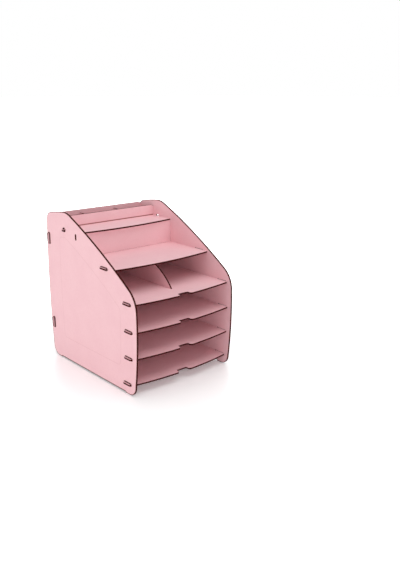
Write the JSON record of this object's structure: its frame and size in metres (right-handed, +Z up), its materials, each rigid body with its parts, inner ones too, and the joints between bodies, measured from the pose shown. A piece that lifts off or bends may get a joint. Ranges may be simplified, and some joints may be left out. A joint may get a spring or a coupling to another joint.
{
  "type": "desk document tray",
  "caption": "Open desk tray of slotted boards: bowed paper shelves with finger notches, a divided bay, a raised ledge and a pen box between arched sides.",
  "frame": {"origin": "on the desk, in the middle of the tray's width and depth", "axes": "+X to the tray's right as seen from the front, +Y from front to back, +Z up"},
  "size_m": [0.2472, 0.313, 0.3208],
  "materials": {
    "painted_board": "matt pale pink paint on fibreboard, with dark scorched edges"
  },
  "bodies": {
    "root": {"left_side": "painted_board", "right_side": "painted_board", "back_panel": "painted_board", "paper_shelf_1": "painted_board", "paper_shelf_2": "painted_board", "paper_shelf_3": "painted_board", "paper_shelf_4": "painted_board", "ledge_shelf": "painted_board", "ledge_riser": "painted_board", "pen_step": "painted_board", "pen_box_front": "painted_board", "pen_divider_left": "painted_board", "pen_divider_right": "painted_board", "bay_divider": "painted_board"}
  },
  "joints": []
}
